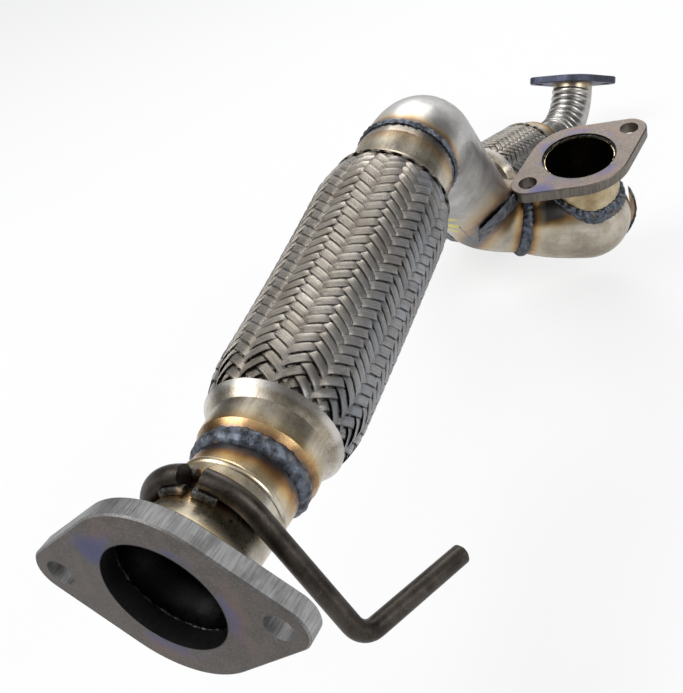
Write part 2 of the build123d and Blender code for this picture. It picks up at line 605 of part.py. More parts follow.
    # Wrinkle-bent pipe, rear inlet flange and their welds
    pipe_start = further(rear_far, REAR_CAP_LENGTH)
    rear_face = station_at(REAR_FLANGE_FACE, REAR_NORMAL * -1, REAR_BOLT_LINE)
    pipe = wrinkle_pipe(pipe_start, rear_face)
    parts["wrinkle_pipe"] = pipe
    parts["rear_pipe_ring_weld"] = largest(
        weld_bead(pipe_start, WRINKLE_R, ELBOW_WELD_LENGTH, ELBOW_WELD_RISE) - pipe - parts["rear_flex_rear_cap"])
    rear_bore = WRINKLE_R + NECK_FIT
    parts["rear_flange"] = two_bolt_plate(
        rear_face, REAR_BOLT_SPACING, REAR_BODY_R, REAR_EAR_R, REAR_BOLT_HOLE_R, rear_bore, REAR_PLATE)
    parts["rear_flange_weld"] = inner_weld(reversed_station(further(rear_face, INLET_NECK_STEP)), rear_bore,
                                           INLET_WELD_RISE)
    return parts


def largest(shape):
    """The largest of a shape's solids."""
    return max(shape.solids(), key=lambda solid: solid.volume)


def rear_corner():
    """The point where the rear pipe's two straight lines would meet."""
    return REAR_FLANGE_FACE - REAR_NORMAL.normalized() * REAR_TO_CORNER


def rear_branch(branch_joint, rear_rim, r_out):
    """The pipe from the rear coupling to the collector elbow, solid and as a tube."""
    end = further(reversed_station(rear_rim), REAR_CAP_LENGTH)
    corner = further(end, BRANCH_RUN).origin
    into = branch_joint.origin - corner
    angle = angle_between(end.z_dir, into)
    back = BRANCH_BEND_R * tan(radians(angle) / 2)
    bend_start = further(end, BRANCH_RUN - back)
    bend_end = turned_on(bend_start, BRANCH_BEND_R, angle, into)

    def run(r_in):
        return (straight(end, BRANCH_RUN - back, r_out, r_in)
                + bent(bend_start, BRANCH_BEND_R, angle, into, r_out, r_in)
                + straight(bend_end, into.length - back, r_out, r_in))

    return run(0), run(r_out - SHEET)


def wrinkle_pipe(start, face):
    """The rear pipe: its bend is gathered into pleats on the inside, which fade out round the sides."""
    end_direction = face.z_dir * -1
    angle = angle_between(start.z_dir, end_direction)
    back = WRINKLE_BEND_R * tan(radians(angle) / 2)
    first_run = (rear_corner() - start.origin).length - back
    bend_start = further(start, first_run)
    bend_end = turned_on(bend_start, WRINKLE_BEND_R, angle, end_direction)
    last_run = REAR_TO_CORNER - back - INLET_NECK_STEP
    inside = WRINKLE_R - SHEET

    def run(r_out):
        return (straight(start, first_run, r_out) + bent(bend_start, WRINKLE_BEND_R, angle, end_direction, r_out)
                + straight(bend_end, last_run, r_out))

    pleats = []
    half = WRINKLE_WIDTH / 2
    for pleat in range(WRINKLES):
        station = turned_on(bend_start, WRINKLE_BEND_R, (pleat + 0.5) * angle / WRINKLES, end_direction)
        shift = bend_side(station, end_direction) * WRINKLE_RISE
        shifted = Plane(origin=station.origin + shift, x_dir=station.x_dir, z_dir=station.z_dir)
        crown = ThreePointArc((inside, -half), (WRINKLE_R, 0), (inside, half))
        pleats.append(turned(shifted, crown + Line((inside, half), (inside, -half))))
    return run(WRINKLE_R) + pleats - run(inside)


if __name__ == "__main__":
    os.makedirs("parts", exist_ok=True)
    for name, shape in main().items():
        export_step(shape, f"parts/{name}.step")
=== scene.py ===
"""An intermediate exhaust pipe with two woven flex couplings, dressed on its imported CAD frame.

Places and lengths are in millimetres in the frame's axes, unless a name says otherwise; MM turns them to metres.
"""

import random
from math import atan2, cos, pi, sin

import bmesh
import bpy
from mathutils import Matrix, Vector, noise


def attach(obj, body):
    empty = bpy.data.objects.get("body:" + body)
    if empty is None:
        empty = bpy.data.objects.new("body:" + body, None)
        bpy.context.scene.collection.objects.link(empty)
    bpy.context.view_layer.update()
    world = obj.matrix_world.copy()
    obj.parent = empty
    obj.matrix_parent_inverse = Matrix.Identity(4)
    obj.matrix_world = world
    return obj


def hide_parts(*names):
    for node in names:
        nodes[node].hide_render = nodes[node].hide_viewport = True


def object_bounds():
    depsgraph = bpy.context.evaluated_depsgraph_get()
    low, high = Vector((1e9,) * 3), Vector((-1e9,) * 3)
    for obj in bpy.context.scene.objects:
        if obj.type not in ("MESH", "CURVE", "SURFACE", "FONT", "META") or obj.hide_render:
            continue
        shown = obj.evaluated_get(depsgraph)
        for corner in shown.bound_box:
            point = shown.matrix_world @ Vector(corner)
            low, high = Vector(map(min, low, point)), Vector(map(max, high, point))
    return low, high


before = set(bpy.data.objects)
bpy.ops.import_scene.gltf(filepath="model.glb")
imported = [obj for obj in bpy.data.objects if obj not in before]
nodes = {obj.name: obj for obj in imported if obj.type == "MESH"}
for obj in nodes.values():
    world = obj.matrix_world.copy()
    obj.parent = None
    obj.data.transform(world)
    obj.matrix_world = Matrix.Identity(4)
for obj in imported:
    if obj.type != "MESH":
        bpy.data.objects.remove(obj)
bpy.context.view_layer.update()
MM = 0.001


# Camera, as the photograph was taken

PHOTO_WIDTH = 683.0
FOCAL_LENGTH_PIXELS = 1000.0
SENSOR_WIDTH = 36.0
CAMERA_PLACE = Vector((243.8, -187.4, 285.4))
RIGHT = Vector((0.8774, 0.4270, -0.2181)).normalized()
DOWN = Vector((0.0830, -0.5830, -0.8080))
DOWN = (DOWN - RIGHT * DOWN.dot(RIGHT)).normalized()
FORWARD = RIGHT.cross(DOWN)

# Stations of the pipe's route: points, and the directions in which it runs through them

Y_AXIS = Vector((0, 1, 0))
OUTLET_PLATE = 10.3
ROD_STATION = 39
NECK_TOP = Vector((-0.3, 72.0, 0.3))
RIM = Vector((-2.6, 99.31, 2.77))
RIM_WAY = Vector((-0.08329, 0.99255, 0.08897))
BEND_SIDE = Vector((0.385637, -0.050219, 0.921283))
FAR_RIM = Vector((-11.29, 274.16, 32.95))
FAR_WAY = Vector((-0.01877, 0.97079, 0.23918))
ELBOW_START = Vector((-11.87, 304.25, 40.37))
ELBOW_WAY = Vector((-0.17222, 0.73032, -0.66104))
SEAM_POINT = Vector((-49.3, 497.6, -113.1))
SEAM_WAY = Vector((0.672, -0.109, -0.718)).normalized()
POT_MOUTH = Vector((-24.85, 507.65, -111.11))
POT_WAY = Vector((0.85859, 0.46224, -0.22172))
POT_CENTRE = Vector((22.63, 533.21, -123.37))
INLET_FACE = Vector((24.23, 521.54, -63.12))
INLET_WAY = Vector((-0.02601, 0.19008, -0.98142))
INLET_PLATE = 9.5
REAR_RIM = Vector((-93.0, 605.0, -133.0))
REAR_FAR = Vector((-79.1, 680.94, -144.11))
REAR_WAY = Vector((0.17825, 0.97363, -0.14238))
REAR_CAP_LENGTH = 30
REAR_FACE = Vector((-62, 805, -113))
REAR_NORMAL = Vector((-0.02, 0.48, 0.876)).normalized()
REAR_BOLTS = Vector((0.90, 0.37, -0.18)).normalized()

# Marks on the elbow: dabs of yellow paint with their sizes, and a pen line on the surface that faces PEN_OUT

PAINT_DABS = (((-28.0, 383.0, -44.0), 3.0), ((-35.0, 398.0, -58.0), 5.5), ((-42.0, 412.0, -69.0), 4.5))
PEN_START, PEN_END = Vector((-30.0, 398.0, -57.5)), Vector((-39.5, 439.2, -94.7))
PEN_OUT = Vector((0.14, -0.64, -0.75))

# Heat colours outward from a weld, as (share of their reach, (red, green, blue, strength))

HEAT = ((0.0, (0.045, 0.045, 0.055, 0.95)), (0.08, (0.09, 0.055, 0.04, 0.95)), (0.20, (0.26, 0.12, 0.03, 0.92)),
        (0.38, (0.48, 0.29, 0.09, 0.8)), (0.66, (0.60, 0.49, 0.30, 0.45)), (1.0, (0.62, 0.56, 0.45, 0.0)))
GOLD = ((0.0, (0.20, 0.10, 0.035, 0.9)), (0.16, (0.42, 0.23, 0.06, 0.85)), (0.45, (0.58, 0.43, 0.20, 0.6)),
        (1.0, (0.62, 0.56, 0.45, 0.0)))
# Painted shade for the inside of a bore
BORE_SHADE = (0.022, 0.021, 0.021)

# Couplings: two families of wire ribbons in a two-over-two twill

WIRES = 9                 # wires side by side in a ribbon
RIBBONS = 24              # ribbons in each family
RIBBON_WIDTH = 5.55
RIBBON_LIFT = 0.50        # how far a ribbon rises over the others, and dips under them
RIBBON_CROWN = 0.26       # how much lower a ribbon's edges are than its middle
RIBBON_DEPTH = 0.42       # how far the weave's middle lies below its outer radius
RIBBON_UV_LENGTH = 5.5    # millimetres along a ribbon to one unit of its UV
TWILL_ROW = 6.9           # from one crossing to the next along the coupling
WIDE, STEPS = 6, 4        # faces across a ribbon, and along it from one crossing to the next
TUCK_LENGTH, TUCK_DEPTH, TUCK_PAST_RIM = 4.0, 0.55, 0.8
BRAID_MOUTH_R = 34.0
SWELL_LENGTH = 26.0
# A near-black sleeve just under the weave: painted shade for the weave's gaps
SHADE_SLEEVE_DEPTH = 1.25
SHADE_SLEEVE_RINGS, SHADE_SLEEVE_SIDES = 40, 72


# Node graphs

class Nodes:
    """A node tree that is built by short calls."""

    def __init__(self, tree):
        self.tree = tree
        self.tree.nodes.clear()

    def add(self, kind, **settings):
        node = self.tree.nodes.new(kind)
        for key, value in settings.items():
            setattr(node, key, value)
        return node

    def put(self, socket, value):
        """Links a socket to another node's output, or sets its value."""
        if isinstance(value, bpy.types.NodeSocket):
            self.tree.links.new(value, socket)
        elif isinstance(value, (tuple, Vector)):
            value = tuple(value)
            needs_alpha = len(socket.default_value) == 4 and len(value) == 3
            socket.default_value = value + (1.0,) if needs_alpha else value
        else:
            socket.default_value = value

    def math(self, operation, a, b=0.0):
        node = self.add("ShaderNodeMath", operation=operation)
        self.put(node.inputs[0], a)
        self.put(node.inputs[1], b)
        return node.outputs[0]

    def times(self, a, b):
        return self.math("MULTIPLY", a, b)

    def plus(self, a, b):
        return self.math("ADD", a, b)

    def size(self, value):
        return self.math("ABSOLUTE", value)

    def rest_of(self, share):
        """What a share leaves of 1."""
        return self.math("SUBTRACT", 1.0, share)

    def vector(self, operation, a, b=(0.0, 0.0, 0.0)):
        node = self.add("ShaderNodeVectorMath", operation=operation)
        self.put(node.inputs[0], a)
        self.put(node.inputs[3 if operation == "SCALE" else 1], b)
        return node.outputs["Value" if operation in ("DOT_PRODUCT", "LENGTH", "DISTANCE") else "Vector"]

    def level(self, value, low, high, first=0.0, last=1.0):
        """The first number below low, the last above high, smooth between."""
        node = self.add("ShaderNodeMapRange", interpolation_type="SMOOTHSTEP", clamp=True)
        self.put(node.inputs["Value"], value)
        for name, limit in (("From Min", low), ("From Max", high), ("To Min", first), ("To Max", last)):
            node.inputs[name].default_value = limit
        return node.outputs["Result"]

    def shader_mix(self, share, a, b):
        node = self.add("ShaderNodeMixShader")
        for socket, value in zip(node.inputs, (share, a, b)):
            self.put(socket, value)
        return node.outputs[0]


class Finish(Nodes):
    """A material with one Principled shader, textured by the frame's own places in millimetres."""

    def __init__(self, name, metallic=1.0, roughness=0.35):
        self.material = bpy.data.materials.new(name)
        self.material.use_nodes = True
        super().__init__(self.material.node_tree)
        self.shader = self.add("ShaderNodeBsdfPrincipled")
        self.put(self.add("ShaderNodeOutputMaterial").inputs["Surface"], self.shader.outputs["BSDF"])
        self.shader.inputs["Metallic"].default_value = metallic
        self.shader.inputs["Roughness"].default_value = roughness
        self.place = self.vector("SCALE", self.add("ShaderNodeTexCoord").outputs["Object"], 1 / MM)
        self.facing = self.add("ShaderNodeNewGeometry").outputs["Normal"]

    def noise(self, size, detail=3.0, rough=0.55, place=None, stretch=None, along=None):
        """Noise with features of about that size, drawn out by a factor along a direction."""
        place = place or self.place
        if stretch:
            shift = self.times(self.vector("DOT_PRODUCT", place, along), 1.0 / stretch - 1.0)
            place = self.vector("ADD", place, self.vector("SCALE", along, shift))
        node = self.add("ShaderNodeTexNoise")
        self.put(node.inputs["Vector"], place)
        node.inputs["Scale"].default_value = 1.0 / size
        node.inputs["Detail"].default_value = detail
        node.inputs["Roughness"].default_value = rough
        return node.outputs["Fac"]

    def spots(self, size, inner, outer):
        """1 in scattered specks, 0 between them. Inner and outer are shares of their spacing."""
        node = self.add("ShaderNodeTexVoronoi")
        self.put(node.inputs["Vector"], self.place)
        node.inputs["Scale"].default_value = 1.0 / size
        return self.near(node.outputs["Distance"], inner, outer)

    def ramp(self, value, stops):
        """A colour ramp's colour and strength. Stops are (position, (red, green, blue, strength))."""
        node = self.add("ShaderNodeValToRGB")
        elements = node.color_ramp.elements
        while len(elements) < len(stops):
            elements.new(0.5)
        for element, (position, _) in zip(elements, stops):
            element.position = position
        for element, (_, colour) in zip(elements, stops):
            element.color = colour
        self.put(node.inputs["Fac"], value)
        return node.outputs["Color"], node.outputs["Alpha"]

    def mix(self, share, a, b):
        node = self.add("ShaderNodeMix", data_type="RGBA")
        self.put(node.inputs[0], share)
        self.put(node.inputs[6], a)
        self.put(node.inputs[7], b)
        return node.outputs[2]

    def over(self, colour, other, share, strength=None):
        """A colour with another laid over it, by a share from 0 to 1 and a strength."""
        return self.mix(share if strength is None else self.times(share, strength), colour, other)

    def along(self, point, direction):
        """Distance past a point along a direction."""
        return self.vector("DOT_PRODUCT", self.vector("SUBTRACT", self.place, point), direction)

    def away(self, point):
        """Distance from a point."""
        return self.vector("DISTANCE", self.place, point)

    def sideways(self, point, way):
        """The step from an axis, square to it."""
        offset = self.vector("SUBTRACT", self.place, point)
        return self.vector("SUBTRACT", offset, self.vector("SCALE", way, self.vector("DOT_PRODUCT", offset, way)))

    def near(self, distance, inner, outer):
        """1 within the inner distance, 0 past the outer one."""
        return self.rest_of(self.level(distance, inner, outer))

    def wobbly(self, distance, amount, size=14.0):
        """A distance with an uneven edge."""
        return self.plus(distance, self.times(self.math("SUBTRACT", self.noise(size), 0.5), amount * 2))

    def tint(self, colour, distance, reach, strength=1.0, hot=HEAT, bead=4.0):
        """Heat colours that fade over a reach from a weld bead's edge, which is that far from its middle."""
        heat, fade = self.ramp(self.math("DIVIDE", self.math("SUBTRACT", self.size(distance), bead), reach), hot)
        return self.over(colour, heat, fade, strength)

    def inside(self, point, way):
        """1 on surfaces that look towards an axis, 0 on those that look away from it."""
        outward = self.vector("DOT_PRODUCT", self.vector("NORMALIZE", self.sideways(point, way)), self.facing)
        return self.level(self.times(outward, -1.0), 0.0, 0.3)

    def bump(self, height, depth, normal=None):
        """A bump of that depth for a height from 0 to 1."""
        node = self.add("ShaderNodeBump")
        node.inputs["Strength"].default_value = 1.0
        node.inputs["Distance"].default_value = depth * MM
        self.put(node.inputs["Height"], height)
        if normal:
            self.put(node.inputs["Normal"], normal)
        return node.outputs["Normal"]

    def done(self, colour, roughness=None, normal=None):
        """The material, with these on its shader."""
        for name, value in (("Base Color", colour), ("Roughness", roughness), ("Normal", normal)):
            if value is not None:
                self.put(self.shader.inputs[name], value)
        return self.material


def shade(colour, factor):
    return tuple(min(1.0, channel * factor) for channel in colour)


def dress(material, *names):
    """Puts a material on the CAD nodes' own slots."""
    for name in names:
        data = nodes[name].data
        if not data.materials:
            data.materials.append(material)
        for index in range(len(data.materials)):
            data.materials[index] = material


# Steel finishes

def pipe_finish(name, light, dark, way, lines=0.02, roughness=(0.22, 0.42), patch=18.0):
    """Rolled or drawn pipe: soft patches, fine lines along it, dark specks and a satin sheen.

    Gives the finish, and its colour, roughness and normal so far.
    """
    g = Finish(name)
    patches = g.noise(patch, 4.0, 0.6)
    drawn = g.noise(1.1, 2.0, 0.5, stretch=30.0, along=way)
    smudge = g.noise(5.0, 5.0, 0.7)
    colour = g.mix(g.level(patches, 0.35, 0.68), dark, light)
    colour = g.over(colour, shade(light, 0.55), g.level(drawn, 0.3, 0.8), 0.30)
    colour = g.over(colour, (0.10, 0.07, 0.05), g.spots(5.5, 0.03, 0.10), 0.65)
    least, most = roughness
    rough = g.plus(least, g.times(smudge, most - least + 0.08))
    return g, colour, rough, g.bump(smudge, 0.05, g.bump(drawn, lines))


def neck_finish():
    """The outlet neck: straw steel with narrow brown and gold fringes, burnt spots by the rods, painted shade
    inside.
    """
    g, colour, rough, normal = pipe_finish(
        "tinted_neck_steel", (0.60, 0.555, 0.47), (0.37, 0.33, 0.26), Y_AXIS, roughness=(0.16, 0.34))
    colour = g.over(colour, (0.55, 0.42, 0.20), g.level(g.noise(13.0, 3.0, 0.5), 0.48, 0.66), 0.45)
    colour = g.tint(colour, g.wobbly(g.along((0, OUTLET_PLATE, 0), Y_AXIS), 3.0), 16.0, 0.9, bead=0.0)
    rods = g.wobbly(g.along((0, ROD_STATION, 0), Y_AXIS), 6.0, 9.0)
    heat, fade = g.ramp(g.math("DIVIDE", g.size(rods), 20.0), HEAT)
    colour = g.over(colour, heat, fade, g.near(g.away((-5.0, 36.0, 26.0)), 16.0, 34.0))
    colour = g.tint(colour, g.wobbly(g.along(NECK_TOP, RIM_WAY), 4.0, 10.0), 17.0, bead=5.0)
    burnt = g.level(g.noise(6.0, 5.0, 0.7), 0.60, 0.68)
    by_rods = g.near(g.size(g.along((0, 36, 0), Y_AXIS)), 8.0, 26.0)
    colour = g.over(colour, (0.035, 0.022, 0.018), g.times(burnt, by_rods), 0.85)
    # Painted shade: the inside of the bore is darkened
    colour = g.over(colour, BORE_SHADE, g.inside((0, 0, 0), Y_AXIS))
    return g.done(colour, rough, normal)


def cap_finish(name, rim, way, heated):
    """A coupling's end cap: pleat lines along it, heat colours by its weld, a painted highlight on the rolled rim.
    """
    g, colour, rough, normal = pipe_finish(
        name, (0.60, 0.55, 0.46), (0.36, 0.31, 0.24), way, roughness=(0.16, 0.32))
    from_rim = g.along(rim, way)
    pleats = g.level(g.noise(1.6, 2.0, 0.5, stretch=40.0, along=way), 0.45, 0.62)
    colour = g.over(colour, (0.22, 0.17, 0.10), pleats, 0.28)
    colour = g.tint(colour, g.wobbly(g.plus(from_rim, 29.0), 3.0, 9.0), 15.0, heated)
    # Painted highlight: a lighter band along the rolled rim
    colour = g.over(colour, (0.66, 0.64, 0.61), g.level(from_rim, -3.5, -1.5), 0.7)
    return g.done(colour, rough, normal)


def flange_finish(name, centre, way, bore_r, face, blue_at, blue_reach, edge=(0.42, 0.42, 0.42), blue=0.8):
    """A torch-cut flange: scaly brown-grey faces with heat colours by the bore, and bright ridged edges."""
    g = Finish(name, roughness=0.5)
    flat = g.level(g.size(g.vector("DOT_PRODUCT", g.facing, way)), 0.55, 0.92)
    patches = g.noise(11.0, 5.0, 0.65)
    grain = g.noise(1.3, 4.0, 0.6)
    colour = g.mix(g.level(patches, 0.30, 0.70), shade(face, 0.60), face)
    colour = g.over(colour, shade(face, 2.0), g.level(grain, 0.46, 0.75), 0.45)
    from_axis = g.vector("LENGTH", g.sideways(centre, way))
    by_bore = g.math("DIVIDE", g.math("SUBTRACT", g.wobbly(from_axis, 4.0, 16.0), bore_r), 16.0)
    heat, fade = g.ramp(by_bore, (
        (0.0, (0.07, 0.07, 0.10, 0.7)), (0.22, (0.09, 0.085, 0.16, blue)), (0.42, (0.14, 0.09, 0.12, 0.5)),
        (0.62, (0.17, 0.11, 0.085, 0.35)), (1.0, (0.17, 0.13, 0.11, 0.0))))
    colour = g.over(colour, heat, fade, g.level(g.noise(22.0, 3.0, 0.5), 0.46, 0.62))
    colour = g.over(colour, (0.055, 0.06, 0.15), g.near(g.wobbly(g.away(blue_at), 7.0), 3.0, blue_reach), blue)
    cut = g.noise(0.9, 3.0, 0.6, stretch=14.0, along=way)
    side = g.mix(g.level(cut, 0.3, 0.7), shade(edge, 0.62), edge)
    side = g.over(side, shade(face, 0.5), g.level(g.noise(14.0, 4.0), 0.45, 0.75), 0.45)
    colour = g.mix(flat, side, colour)
    # Painted shade: the bore's wall is painted near black
    colour = g.over(colour, (0.03, 0.029, 0.03), g.near(from_axis, bore_r + 0.1, bore_r + 0.7), 0.94)
    rough = g.plus(0.30, g.times(patches, 0.28))
    return g.done(colour, rough, g.bump(grain, 0.06, g.bump(g.times(cut, g.rest_of(flat)), 0.35)))


def weld_finish(name, light, dark, brown):
    """Weld metal: slag scale with brighter crests and a little brown."""
    g = Finish(name, roughness=0.45)
    broad = g.noise(5.0, 5.0, 0.65)
    fine = g.noise(0.9, 4.0, 0.6)
    colour = g.mix(g.level(broad, 0.35, 0.65), dark, light)
    colour = g.over(colour, (0.30, 0.19, 0.10), g.level(g.noise(7.0, 3.0, 0.5), 0.55, 0.7), brown)
    colour = g.over(colour, shade(light, 2.0), g.level(fine, 0.55, 0.8), 0.35)
    return g.done(colour, g.plus(0.30, g.times(broad, 0.3)), g.bump(fine, 0.18, g.bump(broad, 0.5)))


def rod_finish():
    """Hot-rolled rod: dark brown-grey scale, rubbed lighter in places."""
    g = Finish("scaled_rod_steel", metallic=0.9, roughness=0.5)
    broad = g.noise(14.0, 5.0, 0.65)
    fine = g.noise(1.4, 4.0, 0.6)
    colour = g.mix(g.level(broad, 0.32, 0.68), (0.030, 0.025, 0.021), (0.075, 0.064, 0.054))
    colour = g.over(colour, (0.16, 0.14, 0.12), g.level(fine, 0.58, 0.75), 0.5)
    return g.done(colour, g.plus(0.26, g.times(broad, 0.28)), g.bump(fine, 0.10, g.bump(broad, 0.25)))


def elbow_finish():
    """The grey brushed elbow, with gold by its welds, dabs of yellow paint and a black pen line."""
    g, colour, rough, normal = pipe_finish(
        "elbow_steel", (0.53, 0.52, 0.50), (0.31, 0.305, 0.30), ELBOW_WAY, lines=0.03, roughness=(0.20, 0.40),
        patch=26.0)
    scuffs = g.level(g.noise(3.5, 5.0, 0.7, stretch=6.0, along=ELBOW_WAY), 0.60, 0.72)
    colour = g.over(colour, (0.20, 0.18, 0.17), scuffs, 0.55)
    colour = g.tint(colour, g.wobbly(g.along(ELBOW_START, FAR_WAY), 3.0), 9.0, 0.8, GOLD)
    colour = g.tint(colour, g.wobbly(g.along(SEAM_POINT, SEAM_WAY), 4.0), 18.0, 0.9)
    for place, size in PAINT_DABS:
        dab = g.near(g.wobbly(g.away(place), 3.0, 4.0), size, size + 1.6)
        colour = g.over(colour, (0.70, 0.62, 0.05), dab, 0.92)
    across = (PEN_END - PEN_START).cross(PEN_OUT).normalized()
    on_line = g.near(g.size(g.wobbly(g.along(PEN_START, across), 3.0, 7.0)), 0.35, 0.75)
    on_run = g.near(g.away((PEN_START + PEN_END) / 2), 25.0, 29.0)
    colour = g.over(colour, (0.03, 0.03, 0.035), g.times(on_line, on_run), 0.85)
    return g.done(colour, rough, normal)


def collector_finish():
    g, colour, rough, normal = pipe_finish(
        "collector_steel", (0.54, 0.505, 0.44), (0.33, 0.30, 0.25), POT_WAY, roughness=(0.20, 0.40))
    colour = g.tint(colour, g.wobbly(g.along(SEAM_POINT, SEAM_WAY), 4.0), 16.0)
    colour = g.tint(colour, g.wobbly(g.along(POT_MOUTH, POT_WAY), 3.0), 12.0, 0.9)
    return g.done(colour, rough, normal)


def pot_finish():
    """Pressed pot shells: beige-gold with dark pits, gold and brown by the seam, the mouth and the neck."""
    g, colour, rough, normal = pipe_finish(
        "pot_steel", (0.60, 0.55, 0.46), (0.42, 0.365, 0.285), POT_WAY, lines=0.015, roughness=(0.18, 0.36),
        patch=15.0)
    pits = g.times(g.spots(3.2, 0.05, 0.16), g.level(g.noise(12.0, 3.0), 0.5, 0.62))
    colour = g.over(colour, (0.08, 0.055, 0.04), pits, 0.85)
    from_seam = g.along(POT_CENTRE, INLET_WAY.cross(POT_WAY).normalized())
    colour = g.tint(colour, g.wobbly(from_seam, 3.0), 9.0, 0.75, GOLD, bead=2.0)
    colour = g.tint(colour, g.wobbly(g.along(POT_CENTRE - INLET_WAY * 33.0, INLET_WAY), 3.0), 13.0, 0.9)
    colour = g.tint(colour, g.wobbly(g.along(POT_MOUTH, POT_WAY), 3.0), 10.0, 0.85)
    return g.done(colour, rough, normal)


def inlet_neck_finish():
    g, colour, rough, normal = pipe_finish(
        "inlet_neck_steel", (0.58, 0.49, 0.33), (0.36, 0.26, 0.13), INLET_WAY, roughness=(0.18, 0.34))
    from_plate = g.along(INLET_FACE + INLET_WAY * INLET_PLATE, INLET_WAY)
    colour = g.tint(colour, g.wobbly(from_plate, 3.0), 9.0, 0.9, bead=0.0)
    # Painted shade: the inside of the bore is darkened
    colour = g.over(colour, (0.05, 0.043, 0.038), g.inside(INLET_FACE, INLET_WAY))
    return g.done(colour, rough, normal)


def wrinkle_finish():
    g, colour, rough, normal = pipe_finish(
        "wrinkle_steel", (0.52, 0.505, 0.48), (0.30, 0.29, 0.275), REAR_WAY, roughness=(0.18, 0.34))
    colour = g.tint(colour, g.wobbly(g.away(REAR_FACE), 4.0), 12.0, 0.9, GOLD, bead=16.0)
    from_cap = g.along(REAR_FAR + REAR_WAY * REAR_CAP_LENGTH, REAR_WAY)
    colour = g.tint(colour, g.wobbly(from_cap, 4.0), 12.0, 0.9, GOLD)
    return g.done(colour, rough, normal)


def inner_finish():
    """Bellows and liners, seen only through the bores: dull, dark grey."""
    g = Finish("inner_steel", roughness=0.5)
    colour = g.mix(g.noise(9.0, 4.0), (0.10, 0.095, 0.09), (0.24, 0.225, 0.21))
    return g.done(colour, normal=g.bump(g.noise(2.0), 0.05))


def shade_sleeve_finish():
    """The near-black sleeve that shows through the weave's gaps: painted shade."""
    g = Finish("painted_shade_under_braid", metallic=0.6, roughness=0.7)
    # Painted shade: the sleeve is near black
    colour = g.mix(g.noise(6.0), (0.010, 0.009, 0.008), (0.035, 0.03, 0.026))
    return g.done(colour, normal=g.bump(g.noise(1.5), 0.1))


def braid_finish(name, cool_reflection_side):
    """Ribbons of fine parallel wires, with a painted reflection warm on one flank of the coupling and blue-grey on
    the other, and painted shade in their gaps.
    """
    g = Finish(name, roughness=0.34)
    parts = g.add("ShaderNodeSeparateXYZ")
    g.put(parts.inputs[0], g.add("ShaderNodeUVMap", uv_map="ribbon").outputs["UV"])
    length, across = parts.outputs["X"], parts.outputs["Y"]
    strand = g.add("ShaderNodeAttribute", attribute_name="strand").outputs["Fac"]
    wire = g.level(g.math("PINGPONG", g.times(across, WIRES), 0.5), 0.0, 0.30)
    wire_place = g.add("ShaderNodeCombineXYZ")
    for socket, value in zip(wire_place.inputs, (
            g.times(length, 0.03), g.math("FLOOR", g.times(across, WIRES)), g.times(strand, 40.0))):
        g.put(socket, value)
    each_wire = g.noise(0.7, 1.0, 0.5, place=wire_place.outputs[0])
    # Painted reflection: surfaces that face the given side turn blue-grey, the others stay warm
    flank = g.plus(g.vector("DOT_PRODUCT", g.facing, cool_reflection_side),
                   g.times(g.math("SUBTRACT", g.noise(30.0), 0.5), 0.7))
    colour = g.mix(g.level(flank, -0.15, 0.75), (0.46, 0.41, 0.345), (0.31, 0.335, 0.37))
    colour = g.over(colour, (0.60, 0.575, 0.54), strand, 0.40)
    colour = g.over(colour, (0.22, 0.175, 0.135), g.level(g.noise(16.0, 4.0, 0.6), 0.42, 0.68), 0.40)
    colour = g.over(colour, (0.16, 0.14, 0.12), g.level(each_wire, 0.35, 0.7), 0.35)
    # Painted shade: the grooves between the wires are darkened
    colour = g.over(colour, (0.045, 0.038, 0.032), g.rest_of(wire), 0.75)
    # Painted shade: each ribbon darkens towards its edges, where it dips under the others
    from_middle = g.times(g.size(g.math("SUBTRACT", across, 0.5)), 2.0)
    colour = g.over(colour, (0.02, 0.018, 0.016), g.level(from_middle, 0.74, 0.98), 0.85)
    return g.done(colour, g.plus(0.20, g.times(each_wire, 0.2)), g.bump(wire, 0.14))


# Woven sleeves

class Coupling:
    """A coupling's centre line, straight, gently bent and straight, and the braid's radius along it."""

    def __init__(self, start, way, side, bend_r, bend_length, length, swell):
        self.start, self.way = start, way.normalized()
        self.side = (side - self.way * self.way.dot(side)).normalized()
        self.cross = self.way.cross(self.side)
        self.lead = SWELL_LENGTH
        self.bend_r, self.bend_length, self.length, self.swell = bend_r, bend_length, length, swell

    def at(self, distance):
        """(point, tangent, side) at a distance from the first rim."""
        angle = max(0.0, min(distance - self.lead, self.bend_length)) / self.bend_r
        before = min(distance, self.lead)
        after = max(0.0, distance - self.lead - self.bend_length)
        tangent = self.way * cos(angle) + self.side * sin(angle)
        side = self.side * cos(angle) - self.way * sin(angle)
        point = (self.start + self.way * before + self.way * (self.bend_r * sin(angle))
                 + self.side * (self.bend_r * (1 - cos(angle))) + tangent * after)
        return point, tangent, side

    def place(self, distance, turn, radius):
        point, _, side = self.at(distance)
        return point + side * (radius * cos(turn)) + self.cross * (radius * sin(turn))

    def from_rim(self, distance):
        return min(distance, self.length - distance)

    def radius(self, distance):
        """It leaves each rim at the cap's mouth and swells out to its full girth."""
        share = max(0.0, min(1.0, self.from_rim(distance) / SWELL_LENGTH))
        return BRAID_MOUTH_R + self.swell * sin(share * pi / 2)


